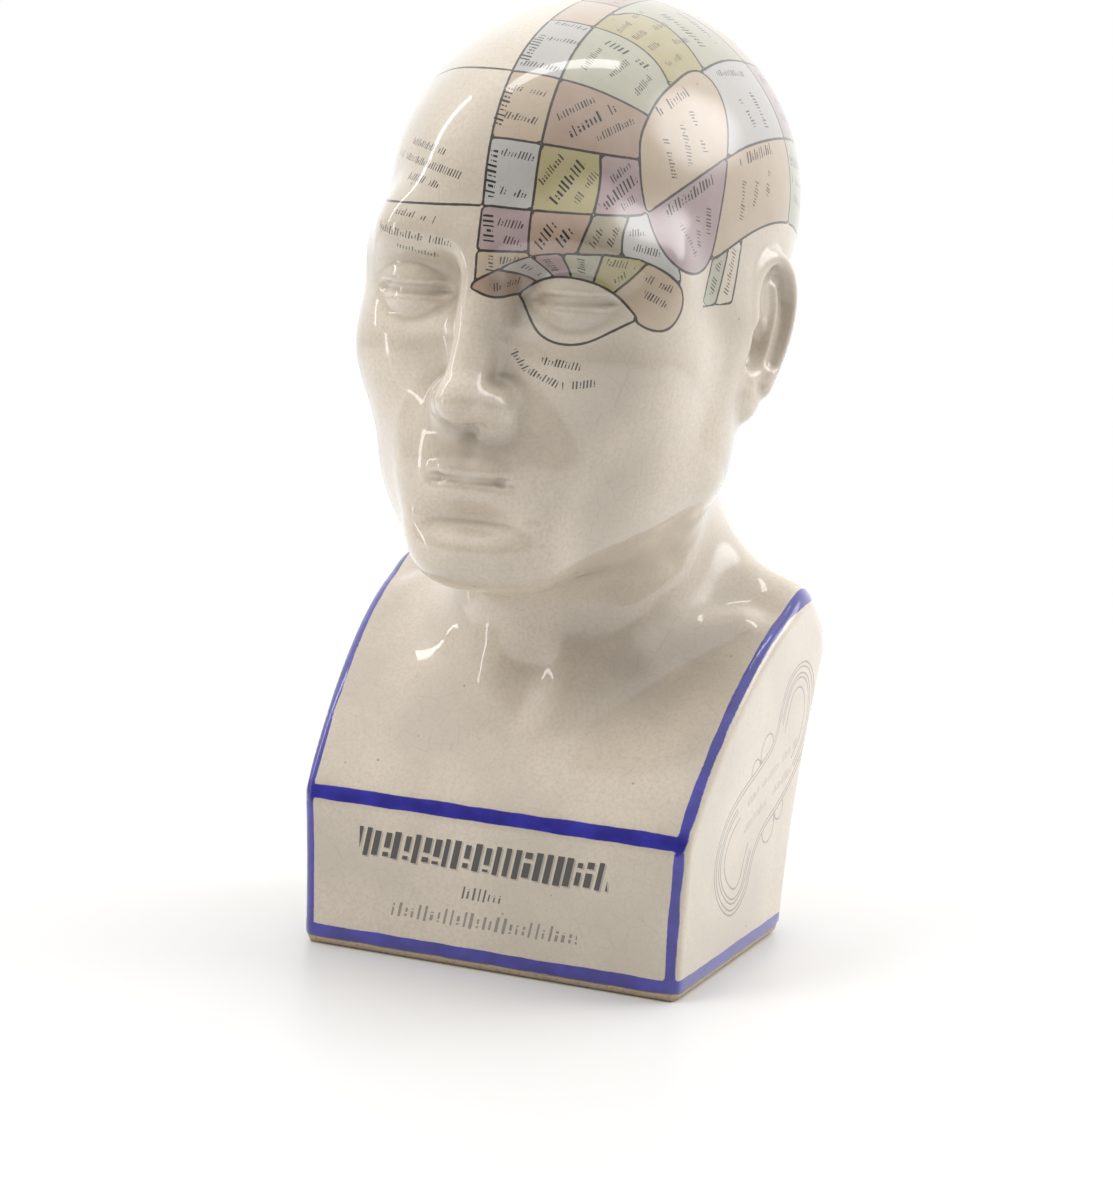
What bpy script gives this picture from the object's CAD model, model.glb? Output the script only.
"""A glazed ceramic phrenology head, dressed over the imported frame."""

from math import cos, radians, sin

import bmesh
import bpy
import numpy as np
from mathutils import Matrix, Vector


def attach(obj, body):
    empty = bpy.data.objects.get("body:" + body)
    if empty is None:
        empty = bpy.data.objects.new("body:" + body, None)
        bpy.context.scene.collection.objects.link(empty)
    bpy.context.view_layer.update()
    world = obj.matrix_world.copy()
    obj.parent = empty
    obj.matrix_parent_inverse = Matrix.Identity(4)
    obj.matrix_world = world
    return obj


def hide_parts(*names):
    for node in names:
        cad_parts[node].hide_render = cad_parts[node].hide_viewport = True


bl_info = {
    "name": "Phrenology head",
    "version": (1, 0, 0),
    "blender": (4, 5, 0),
    "location": "View3D > Sidebar > Phrenology head",
    "description": "Builds a glazed ceramic head with a painted map, and the studio around it",
    "category": "Add Mesh",
}

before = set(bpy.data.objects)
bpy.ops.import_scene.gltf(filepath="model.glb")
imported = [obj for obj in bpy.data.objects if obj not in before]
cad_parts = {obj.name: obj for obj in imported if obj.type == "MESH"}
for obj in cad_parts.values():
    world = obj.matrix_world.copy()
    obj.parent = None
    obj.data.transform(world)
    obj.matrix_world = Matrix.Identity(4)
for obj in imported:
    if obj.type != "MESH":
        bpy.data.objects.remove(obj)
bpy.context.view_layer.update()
PIECE = "phrenology_bust"
MILLIMETRE = 0.001

# Sizes of the form, in millimetres. Pairs are distances back from the panel and heights.
FOOT_WIDTH = 127.0
SHOULDER_WIDTH = 142.0
FOOT_DEPTH = 96.5
PANEL_HEIGHT = 48.6
CHEST_START = (9.0, 66.0)
CHEST_END = (47.0, 111.0)
SHOULDER_TOP = (84.0, 111.5)
BACK_CURVE = (106.0, 112.0)
BACK_TOP = (114.5, 93.0)
EDGE_RADIUS = 4.0
BACK_RADIUS = 11.0
PANEL_EDGE_RADIUS = 2.5
NECK_WIDTHS = (84.0, 76.0)
NECK_DEPTH = 90.0
NECK_FOOT = (72.0, 80.0)
NECK_TOP_SETBACK = 64.0
NECK_FILLET = 20.0
CHIN_FILLET = 22.0
SEAM_RADIUS = 1.1
TOTAL_HEIGHT = 297.0
HEAD_HEIGHT = 176.0
HEAD_WIDTH = 123.0
HEAD_SETBACK = 57.0
CHIN_HEIGHT = TOTAL_HEIGHT - HEAD_HEIGHT

# The head has a frame of its own, 100 high from the chin and 70 wide.
HEIGHT_UNIT = HEAD_HEIGHT / 100
WIDTH_UNIT = HEAD_WIDTH / 70
FACE_PLANE = -43.75
BROW = 58.0
EYE = 50.0
EYE_OUT = 14.0
NOSE_BASE = 29.0
MOUTH = 19.5
EAR_CENTRE = (31.0, 1.1, 42.6)
EAR_TILT = radians(12)
EAR_FLARE = radians(17)
EAR_RIM = (
    (-3, 0.5), (-5.9, 4.5), (-5, 10), (-1.2, 13.6), (3.2, 13.2), (6.6, 9.2), (7.3, 3.4), (6, -3), (3.4, -8.4),
)
EAR_GROOVE = ((0.4, 10.8), (3.2, 9.8), (5, 6), (5, 1), (3.8, -4))
EAR_FOLD = ((2.2, 8.6), (4, 4.6), (4, -0.4), (2.4, -5.2), (-0.6, -7.4))

# How the mesh is brought onto the form, in millimetres. What is below the kept foot stays where it is.
KEPT_FOOT = 3.2
EVENED_FROM = 4.0
EAR_SWELL = 3.0
# Boxes whose faces are halved, as least and most distance to either side, distance back and height.
EAR_BOX = ((48, 42, 166), (90, 81, 224))
FACE_BOX = ((-1, -60, 130), (40, 2, 218))


def ball(p, centre, radii, tilt=0.0):
    """Distance to an ellipsoid, tilted about the x axis."""
    x, y, z = (p[i] - centre[i] for i in range(3))
    if tilt:
        y, z = y * np.cos(tilt) + z * np.sin(tilt), z * np.cos(tilt) - y * np.sin(tilt)
    a, b, c = x / radii[0], y / radii[1], z / radii[2]
    reach = np.sqrt(a * a + b * b + c * c)
    slope = np.sqrt((a / radii[0]) ** 2 + (b / radii[1]) ** 2 + (c / radii[2]) ** 2) + 1e-9
    return reach * (reach - 1) / slope


def rod(p, start, end, radii):
    """Distance to a round rod that tapers from its start to its end."""
    axis = [end[i] - start[i] for i in range(3)]
    gone = [p[i] - start[i] for i in range(3)]
    along = sum(axis[i] * gone[i] for i in range(3)) / sum(value * value for value in axis)
    share = np.clip(along, 0, 1)
    gap = np.sqrt(sum((gone[i] - axis[i] * share) ** 2 for i in range(3)))
    return gap - (radii[0] + (radii[1] - radii[0]) * share)


def blend(a, b, width):
    """Joins two forms with a soft fillet."""
    overlap = np.maximum(width - np.abs(a - b), 0) / width
    return np.minimum(a, b) - overlap * overlap * width / 4


def carve(body, tool, width):
    """Takes a tool out of a body, with softened rims."""
    return -blend(-body, tool, width)


def rounded_overlap(a, b, radius):
    """What two forms share, with the edge between them rounded."""
    out_a = np.maximum(a + radius, 0)
    out_b = np.maximum(b + radius, 0)
    return np.minimum(np.maximum(a, b) + radius, 0) + np.hypot(out_a, out_b) - radius


def smooth_step(value, low, high):
    share = np.clip((value - low) / (high - low), 0, 1)
    return share * share * (3 - 2 * share)


def curve_points(handles, count):
    """Points along the curve that these handles pull."""
    share = np.linspace(0, 1, count + 1)[:, None]
    rows = [np.broadcast_to(np.array(handle, float), (count + 1, 2)) for handle in handles]
    while len(rows) > 1:
        rows = [a + (b - a) * share for a, b in zip(rows, rows[1:])]
    return rows[0]


def smooth_line(corners, count):
    """A curve of arcs through the middles between the corners."""
    corners = [np.array(corner, float) for corner in corners]
    middles = [(a + b) / 2 for a, b in zip(corners, corners[1:])]
    arcs = [curve_points(handles, count)[:-1] for handles in zip(middles, corners[1:-1], middles[1:])]
    return np.vstack([[corners[0]], *arcs, [middles[-1]], [corners[-1]]])


def in_head_frame(p):
    setback = p[1] - HEAD_SETBACK
    rise = p[2] - CHIN_HEIGHT
    return np.stack((p[0] / WIDTH_UNIT, setback / HEIGHT_UNIT, rise / HEIGHT_UNIT))


# The parts of the head, in its own units. A ball has a centre and radii, and a rod two ends and their radii.
# The last number of a blend or a carving is the width of its fillet.
def skull_and_jaw(p):
    skull = ball(p, (0, 9.7, 63.9), (34.1, 34.4, 35.8))
    skull = blend(skull, ball(p, (0, -12.5, 64.8), (28.4, 31.2, 30.1)), 12.5)
    jaw = ball(p, (0, -14.8, 36.4), (30.4, 28.4, 30.7))
    jaw = blend(jaw, ball(p, (0, -17, 19.3), (25, 25, 17)), 11.4)
    jaw = blend(jaw, rod(p, (21.6, -10.8, 20.5), (8, -34.7, 7.4), (5.7, 6.2)), 10.2)
    jaw = blend(jaw, rod(p, (26.1, -4, 44.9), (22.7, -8.5, 22.2), (5.1, 4.5)), 10.2)
    return blend(skull, jaw, 12.5)


def brow_and_cheek(p, form):
    depth = FACE_PLANE
    brow_top = (14.8, depth + 6.8, BROW + 0.9)
    form = blend(form, rod(p, (2.3, depth + 4.8, BROW - 1.1), brow_top, (3.7, 3.4)), 9)
    form = blend(form, rod(p, brow_top, (24, depth + 17, BROW - 2.8), (3.4, 2.8)), 10)
    form = blend(form, ball(p, (17.6, depth + 15.9, EYE - 10.2), (9.1, 9.7, 7.4)), 12.5)
    form = carve(form, ball(p, (EYE_OUT + 0.3, depth - 1.1, EYE + 0.3), (8.2, 6.8, 5.1)), 5.7)
    return carve(form, ball(p, (6, depth - 0.9, EYE + 0.6), (2.8, 5.1, 4.5)), 4.5)


def eye(p, form):
    across = p[0] - EYE_OUT
    setback = p[1] - FACE_PLANE - 3.4
    rise = p[2] - EYE
    form = blend(form, ball(p, (EYE_OUT, FACE_PLANE + 10, EYE), (7.05, 7.05, 7.05)), 0.9)
    upper_edge = 0.94 * rise - 0.34 * setback - 1.36 + 0.028 * across**2
    upper = carve(ball(p, (EYE_OUT, FACE_PLANE + 10, EYE), (8.1, 7.9, 7.6)), upper_edge, 0.7)
    lower_edge = -0.96 * rise - 0.28 * setback - 1.93 + 0.021 * across**2
    lower = carve(ball(p, (EYE_OUT, FACE_PLANE + 10.1, EYE), (7.85, 7.7, 7.5)), lower_edge, 0.7)
    return blend(blend(form, upper, 1.4), lower, 1.7)


def nose(p, form):
    depth = FACE_PLANE
    bridge = rod(p, (0, depth + 3.1, EYE + 3.4), (0, depth - 5.1, NOSE_BASE + 6.2), (3.1, 3.6))
    form = blend(form, bridge, 5.1)
    form = blend(form, ball(p, (0, depth - 5.7, NOSE_BASE + 4), (4.4, 4.9, 3.75)), 2.3)
    form = blend(form, ball(p, (4.5, depth - 1.4, NOSE_BASE + 3.1), (2.6, 4.3, 2.95)), 2.8)
    return carve(form, ball(p, (2.5, depth - 2.8, NOSE_BASE - 0.2), (1.3, 2.3, 1.4)), 0.9)


def mouth_and_chin(p, form):
    depth = FACE_PLANE
    form = blend(form, ball(p, (0, depth + 5.1, MOUTH + 0.6), (13.6, 5.7, 10.8)), 8)
    lip_groove = rod(p, (0, depth - 2.6, NOSE_BASE - 1.7), (0, depth - 3.6, MOUTH + 4.5), (0.9, 1.25))
    form = carve(form, lip_groove, 2.3)
    form = blend(form, ball(p, (2.4, depth + 0.45, MOUTH + 1.9), (5.1, 3.5, 2.15), 0.25), 1.4)
    upper_lip_end = rod(p, (4.5, depth - 0.35, MOUTH + 1.25), (9.95, depth + 2.7, MOUTH + 0.1), (1.5, 0.6))
    form = blend(form, upper_lip_end, 1.7)
    form = blend(form, ball(p, (1.4, depth + 1.25, MOUTH - 2.4), (6.5, 3.65, 2.55), -0.2), 1.4)
    halfway = (5.7, depth - 1.9, MOUTH)
    form = carve(form, rod(p, (0, depth - 3.5, MOUTH + 0.1), halfway, (0.45, 0.45)), 1.2)
    form = carve(form, rod(p, halfway, (10.4, depth + 1.9, MOUTH - 0.2), (0.4, 0.2)), 1.4)
    form = blend(form, ball(p, (0, depth + 5.7, 7.4), (10.2, 7, 6.8)), 8)
    return carve(form, ball(p, (0, depth - 3.1, MOUTH - 7), (9.1, 3.65, 1.95)), 4.5)


def ridge(q, corners, lift, radius):
    """Distance to a round bead along a line that lies at one height above the ear's plate."""
    line = smooth_line(corners, 3)
    parts = [rod(q, (lift, *a), (lift, *b), (radius, radius)) for a, b in zip(line, line[1:])]
    return np.minimum.reduce(parts)


def turned(a, b, angle):
    """Two of a place's numbers, turned from the first towards the second."""
    return a * cos(angle) - b * sin(angle), b * cos(angle) + a * sin(angle)


def ear(p, form):
    """Adds an ear: its plate and lobe, the rolled rim, the inner fold, the hollows and the front flap."""
    x, y, z = (p[i] - EAR_CENTRE[i] for i in range(3))
    x, y = turned(x, y, EAR_FLARE)
    y, z = turned(y, z, EAR_TILT)
    q = np.stack((x, y, z))
    plate = blend(ball(q, (-3.2, 0, 0.6), (4.6, 7.6, 13.6)), ball(q, (0.9, -0.8, -11), (2.2, 3.7, 4)), 2.5)
    shape = blend(plate, ridge(q, EAR_RIM, -1.8, 2.1), 1.6)
    shape = blend(shape, ridge(q, EAR_RIM, 1.9, 1.6), 1.6)
    shape = blend(shape, ridge(q, EAR_FOLD, 1.1, 1.35), 1.6)
    form = blend(form, shape, 2)
    form = carve(form, ridge(q, EAR_GROOVE, 3.4, 1.3), 1)
    form = carve(form, ball(q, (3.4, -0.8, -1.8), (4.4, 3.2, 4.8)), 1.2)
    return blend(form, ball(q, (1.7, -4.9, -2.4), (2, 1.6, 2.5)), 1.4)


def head(point):
    p = in_head_frame(point)
    form = eye(p, brow_and_cheek(p, skull_and_jaw(p)))
    form = mouth_and_chin(p, nose(p, form))
    return ear(p, form) * HEIGHT_UNIT


def neck(p):
    """An oval column with the throat and a tendon from ear to collar. From here on, all is in millimetres."""
    top = CHIN_HEIGHT + HEAD_HEIGHT / 3
    rise = np.clip((p[2] - NECK_FOOT[1]) / (top - NECK_FOOT[1]), -0.4, 1)
    half_width = (NECK_WIDTHS[0] + (NECK_WIDTHS[1] - NECK_WIDTHS[0]) * rise) / 2
    middle = NECK_FOOT[0] + (NECK_TOP_SETBACK - NECK_FOOT[0]) * rise
    a = p[0] / half_width
    b = (p[1] - middle) / (NECK_DEPTH / 2)
    reach = np.hypot(a, b)
    slope = np.hypot(a / half_width, b / (NECK_DEPTH / 2)) + 1e-9
    column = carve(reach * (reach - 1) / slope, p[2] - NECK_FOOT[1], 10)
    tendon_middle = (19, 41, 116)
    tendon = rod(p, (40, 66, 172), tendon_middle, (7, 6))
    tendon = blend(tendon, rod(p, tendon_middle, (6.5, 29.5, 81), (6, 4)), 5)
    form = blend(column, tendon, 8)
    throat = rod(p, (0, 33, 128), (0, 34.5, 96), (9, 6))
    form = blend(form, throat, 9)
    return carve(form, CHIN_HEIGHT + 0.42 * HEAD_HEIGHT - p[2], 30)


def torso_outline():
    """The bust's side view, closed far below the foot."""
    chest = curve_points(((0, PANEL_HEIGHT), CHEST_START, CHEST_END, SHOULDER_TOP), 24)
    back = curve_points((SHOULDER_TOP, BACK_CURVE, BACK_TOP), 12)
    slope = (chest[1] - chest[0]) / (chest[1][1] - chest[0][1])
    deep = 60.0
    foot = (FOOT_DEPTH - (BACK_TOP[0] - FOOT_DEPTH) * deep / BACK_TOP[1], -deep)
    return np.vstack(([chest[0] - slope * (PANEL_HEIGHT + deep)], chest, back[1:], [foot]))


TORSO_OUTLINE = torso_outline()


def outline_distance(y, z):
    """Distance to the bust's side view, negative inside."""
    nearest = np.full(y.shape, np.inf)
    inside = np.zeros(y.shape, bool)
    for (ay, az), (by, bz) in zip(TORSO_OUTLINE, np.roll(TORSO_OUTLINE, 1, axis=0)):
        along = (y - ay) * (by - ay) + (z - az) * (bz - az)
        share = np.clip(along / ((by - ay) ** 2 + (bz - az) ** 2), 0, 1)
        nearest = np.minimum(nearest, np.hypot(y - ay - (by - ay) * share, z - az - (bz - az) * share))
        if az != bz:
            crosses = ((az > z) != (bz > z)) & (y < (by - ay) * (z - az) / (bz - az) + ay)
            inside ^= crosses
    return np.where(inside, -nearest, nearest)


def half_width_at(z):
    """The bust is narrowest at its foot and widens ever faster towards the shoulders."""
    lean = np.maximum(z / SHOULDER_TOP[1], 0) ** 2
    return (FOOT_WIDTH + (SHOULDER_WIDTH - FOOT_WIDTH) * lean) / 2


def torso(p):
    slope = rod(p, (25, 86, 119), (72, 84, 100), (13, 9))
    outline = blend(outline_distance(p[1], p[2]), slope, 12)
    outline = rounded_overlap(outline, -p[1], PANEL_EDGE_RADIUS)
    radius = EDGE_RADIUS + (BACK_RADIUS - EDGE_RADIUS) * smooth_step(p[1], 70, 100)
    return rounded_overlap(outline, p[0] - half_width_at(p[2]), radius)


def collar(p, form):
    """Adds the collar bones and the hollow between them."""
    middle = (30, 42, 95)
    bone = blend(rod(p, (9, 31.5, 83.5), middle, (3, 3)), rod(p, middle, (56, 62, 104), (3, 2)), 3)
    form = blend(form, bone, 9)
    return carve(form, ball(p, (0, 14.5, 90), (9, 12, 9), 0.5), 9)


def whole_form(point):
    """Distance to the whole bust's surface, negative inside. The two halves are the same."""
    p = np.stack((np.hypot(point[0], SEAM_RADIUS), point[1], point[2]))
    form = blend(blend(head(p), neck(p), CHIN_FILLET), torso(p), NECK_FILLET)
    return collar(p, form)


# The painted map is planned in a chart round the left ear: degrees towards the face and degrees upward.
# The middle of the head is the circle at 90 degrees. The column along it begins at 79 degrees.
CORE = (0.0, 57.0, 225.0)
MIDDLE = 90.0
COLUMN = 79.0
RING = (
    (100, 14), (89.5, 11.5), (78.5, 9.5), (65.5, 8), (54.5, 8), (52, 9), (42, 15), (30.5, 20.5), (19.5, 24.5),
    (7, 27.5), (-10, 28), (-26, 26), (-44, 20), (-62, 9), (-80, -4),
)
UPPER_RIGHT = ((78, 60), (70, 56), (62, 52), (51, 48.5), (32, 38.5), (15, 23))
ROSE_LOWER = ((96, 38), (83.5, 33.5), (74, 29), (61.5, 25), (52, 23.5), (40, 22))
ROSE_UPPER = ((75, 60), (70.5, 56), (61.5, 48.5), (56.5, 45), (51, 40.5), (45, 36), (36, 28))
GREEN_END = ((44, 82), (37.5, 69.5), (32.5, 62), (31, 56), (31, 51), (32.5, 44.5), (35, 36))
ARC_END = ((34, 86), (27, 74), (14, 75), (9.5, 69), (10, 61.5), (12, 54), (14.5, 44))
ROSE_RIGHT = ((59, 34), (61.5, 25), (62.5, 19), (65.5, 8), (67.5, 3), (69, -2.5), (71, -9))
OLIVE_RIGHT = ((56, 13), (57.5, 7.5), (59.5, 3), (59.5, -2), (59, -8))
BLUE_END = ((49, 4), (46, -3), (44, -6.5), (43.5, -14))
OVAL = (
    (24.5, 48.5), (32.5, 45), (39.5, 41), (45, 36), (50, 30), (52, 23.5), (53, 16.5), (52.5, 9),
    (51, 2), (48, -3), (43.5, -6.5), (38, -8), (33, -7.5), (29.5, -4), (27.5, 2), (24.5, 12),
    (20.5, 23), (17.5, 29), (13.5, 37), (12, 45), (14.5, 49.5), (19, 50),
)
SIDE_FOOT = ((48, 6), (38, -3), (30, -5.5), (18.5, -0.5), (8, 3), (-4.5, 5), (-18, 4), (-32, -2), (-44, -12))
SIDE_END = ((-14, 60), (-15.5, 44), (-17, 28), (-16, 14), (-14, -4))
FAR_TOP = ((36, 36), (24, 46), (14, 50), (0, 52), (-12, 50.5), (-28, 46), (-44, 38), (-60, 27), (-76, 14))
FAN_TOP = (
    (89.5, -15), (89.5, -13), (85.5, -9), (81, -5), (75, -2.5), (66, -2), (58, -2.5), (51, -5), (45, -8.5),
    (42, -12.5), (42, -16.5), (45, -20), (49, -20.5), (53.5, -19), (55, -17), (59.5, -13),
    (65, -10), (70.5, -9.5), (75, -11), (78, -14), (80, -18), (80.5, -18), (85, -17), (89.5, -15),
)
LENS = (
    (81, -18), (80.5, -18.5), (78, -22.5), (74.5, -25.5), (70.5, -27), (66.5, -26.5), (62.5, -24.5),
    (58, -20.5), (54, -18), (53.5, -18), (56.5, -15), (60, -12), (65, -9.5), (70.5, -9), (75, -10.5),
    (78.5, -14),
)
FAN_MIDDLE = (66, -19)
STRIPS = (
    ((27, 2), (29, -5), (31, -11), (33.5, -19)), ((20, 4), (22, -3), (24, -9), (27.5, -19)),
    ((13, 6), (15, -1), (17, -8), (20.5, -19)),
)

# Rows of strokes on the map, as start and end in the chart. A heading is taller and darker than the rest.
MAP_ROWS = (
    (81.5, 36.5, 72.5, 51.5, "heading"), (73, 49, 67.5, 44.5), (78.5, 40, 72.5, 36),
    (87.5, 14, 84, 29, "heading"), (82.5, 28, 76, 25), (85, 16, 79, 14),
    (87.5, -0.5, 88, 8.5, "heading"), (86, 6, 80, 5), (85.5, 1, 80.5, 0), (86.5, -10, 87, -4.5),
    (85, -6, 81.5, -5.5), (65.5, 59.5, 50.5, 72.5, "heading"), (44.5, 76, 41, 68.5),
    (54.5, 68, 48.5, 62), (67, 58.5, 60.5, 52.5), (68.5, 36, 57.5, 41), (67, 31, 53, 38.5, "heading"),
    (61, 29.5, 50, 34.5), (76, 17.5, 70, 25), (74, 11.5, 66, 23, "heading"), (69, 11.5, 63.5, 20),
    (60.5, 17.5, 54.5, 22.5), (63.5, 10, 54, 18.5, "heading"), (59, 10, 55, 13),
    (77, -1, 73.5, 6, "heading"), (73.5, -1.5, 69, 6, "heading"), (66, 0, 64, 4.5), (62.5, 0, 60.5, 5),
    (58, 3.5, 53.5, 3.5), (57, 0, 49.5, -2), (41, 62, 35.5, 51, "heading"), (55, 51.5, 44.5, 59.5),
    (49.5, 48.5, 40.5, 53.5), (45.5, 42.5, 37.5, 48), (32.5, 66, 22, 70), (30, 62.5, 22.5, 65),
    (28.5, 58, 21, 60.5), (27.5, 52, 18.5, 55), (41.5, 37, 27, 43.5, "heading"), (29.5, 37.5, 29, 25),
    (35, 34, 36, 22), (42.5, 29.5, 42.5, 18.5), (46.5, 9, 28, 18.5, "heading"), (30.5, 11.5, 31, 1.5),
    (35, 9.5, 35.5, -1), (42.5, 6, 37.5, -3), (14.5, 23, -5.5, 25.5, "heading"), (13, 17.5, 15, 6.5),
    (6, 17, 8, 10), (-2, 19.5, 0.5, 12.5), (3.5, 41.5, 0.5, 32), (-5, 41.5, -6.5, 31),
    (8, 48.5, -8, 46.5), (29, -14.5, 25.5, -5), (22.5, -14.5, 18.5, -2), (105, 44.5, 96, 32),
    (113.5, 46.5, 93.5, 22), (110, 27, 100, 19.5), (110.5, 9.5, 100.5, 6), (116.5, 4, 96.5, -2),
    (110.5, -5, 101, -7.5), (85.5, -14.5, 81, -13), (81, -7.5, 76.5, -10.5), (73, -8.5, 75.5, -4),
    (67.5, -8.5, 68, -3), (62.5, -4, 56, -5), (60.5, -9, 58, -7), (53, -8, 46, -11),
    (53, -12, 46.5, -15), (70, -31.5, 62.5, -30), (76.5, -31.5, 72, -35), (71.5, -35, 65, -35.5),
    (64, -35.5, 58.5, -32.5), (18, 72, 9, 74), (17, 66, 8, 67), (16, 60, 7, 60),
    (3, 57, 2, 71, "heading"), (-7, 57, -9, 71), (-27, 67, -40, 60, "heading"), (-25, 61, -35, 56),
    (-22, 55.5, -30, 52), (-48, 53.5, -60, 40.5, "heading"), (-45, 48.5, -53, 39.5),
    (-41, 44, -47, 37.5), (-19, 44, -38, 37, "heading"), (-20, 38, -36, 32.5), (-20, 33, -34, 29),
    (-46, 30.5, -61, 20.5, "heading"), (-47, 25, -59, 16), (-18, 21, -34, 17, "heading"),
    (-18, 16, -33, 11.5), (-19, 11, -31, 6), (-40, 14, -57, 4, "heading"), (-40, 8, -54, -2),
    (-41, 2, -51, -6),
)
# The same for the figure's right side, in the chart round the right ear.
RIGHT_ROWS = (
    (-10, 59, 28, 53, "heading"), (-8, 66, 27, 61), (-6, 73, 22, 70), (-30, 37, 4, 42, "heading"),
    (-30, 30, 3, 35), (-28, 23, 2, 28), (-22, 16, -2, 19), (-66, 24, -50, 42, "heading"),
    (-60, 20, -47, 36), (-70, 4, -55, 20), (-62, 2, -50, 14),
)
# The column down the back of the head: the angles round the ear at which its cells end.
BACK_COLUMN = (80, 100, 121, 143, 166, 188, 206)


def chart_of(points):
    """Each point's place in the chart, and its angles out from the ear and round it from the face."""
    x, y, z = (points[i] - CORE[i] for i in range(3))
    out = np.degrees(np.arccos(np.clip(x / np.sqrt(x * x + y * y + z * z), -1, 1)))
    around = np.degrees(np.arctan2(z, -y))
    return out * np.cos(np.radians(around)), out * np.sin(np.radians(around)), out, (around + 150) % 360 - 150


def nearest_side(line, a, b):
    """Distance in the chart to a run of points, positive on its left."""
    nearest = np.full(a.shape, np.inf)
    side = np.ones(a.shape)
    for (ax, ay), (bx, by) in zip(line, line[1:]):
        along = (a - ax) * (bx - ax) + (b - ay) * (by - ay)
        share = np.clip(along / ((bx - ax) ** 2 + (by - ay) ** 2), 0, 1)
        gap = np.hypot(a - ax - (bx - ax) * share, b - ay - (by - ay) * share)
        turn = np.sign((bx - ax) * (b - ay) - (by - ay) * (a - ax))
        closer = gap < nearest - 1e-9
        nearest = np.where(closer, gap, nearest)
        side = np.where(closer, turn, side)
    return nearest * side


def border(corners, a, b):
    """Distance to an open border, positive on its left. Both of its ends run on straight."""
    line = smooth_line(corners, 4)
    run_on = 60
    first = line[0] + (line[0] - line[1]) * run_on
    last = line[-1] + (line[-1] - line[-2]) * run_on
    return nearest_side(np.vstack(([first], line, [last])), a, b)


def closed_shape(corners, a, b):
    """Distance to a closed outline, negative inside. It may run either way round."""
    corners = [np.array(corner, float) for corner in corners]
    middles = [(p + q) / 2 for p, q in zip(corners, corners[1:] + corners[:1])]
    handles = zip(middles[-1:] + middles[:-1], corners, middles)
    line = np.vstack([curve_points(each, 4)[:-1] for each in handles])
    line = np.vstack((line, line[:1]))
    area = (line[:-1, 0] * line[1:, 1] - line[1:, 0] * line[:-1, 1]).sum()
    return nearest_side(line, a, b) * -np.sign(area)


TINTS = ("peach", "rose", "mauve", "yellow", "green", "blue", "olive", "bare", "plain")
UNTINTED = ("bare", "plain")

# The edge lines, the rows of strokes and the ornament, in millimetres.
STRIPE_WIDTH = 4.3
STRIPE_BACK_END = 90.0
STRIPE_TOP_END = 118.0
FOOT_STRIPE_HEIGHT = 4.7
PANEL_TOP_STRIPE = PANEL_HEIGHT + 0.5
HEADING_HEIGHT = 3.6
ROW_HEIGHT = 2.5
# A row's frame is held this far past its ends and off its plane, and rows of one layer keep the gap.
ROW_MARGIN = 2.3
ROW_DEPTH = 6.7
ROW_GAP = 2.5
ROW_LAYERS = 5
# Each panel row's left and right end, its height above the foot, its strokes' height and its darkness.
PANEL_ROWS = ((-44, 39.5, 35.5, 10, 1.2), (-9.2, 5.6, 24.1, 4.3, 0.85), (-33.8, 30.4, 15.6, 5.4, 0.6))
# The side faces' rows and the ornament are given as distance back and height.
SIDE_ROWS = (((49.5, 51.5), (91.5, 64.0), 3.0, 0.5), ((43.5, 41.5), (95.5, 57.5), 3.0, 0.5))
SCROLL = (
    (38, 18), (27, 27), (24, 38), (30, 50), (42, 57), (58, 62.5), (69, 68), (70, 78), (74, 88), (85, 92),
    (97, 87), (103, 74), (101, 61), (92, 52), (80, 44.5), (67, 40), (59, 33), (56, 22), (47, 16.5),
)
SCROLL_CURLS = ((62, 66.5, 5.2), (53.5, 61.5, 3.6), (71, 39.5, 5.2), (80, 43.5, 3.6))
SCROLL_MIDDLE = 49.0


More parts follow.
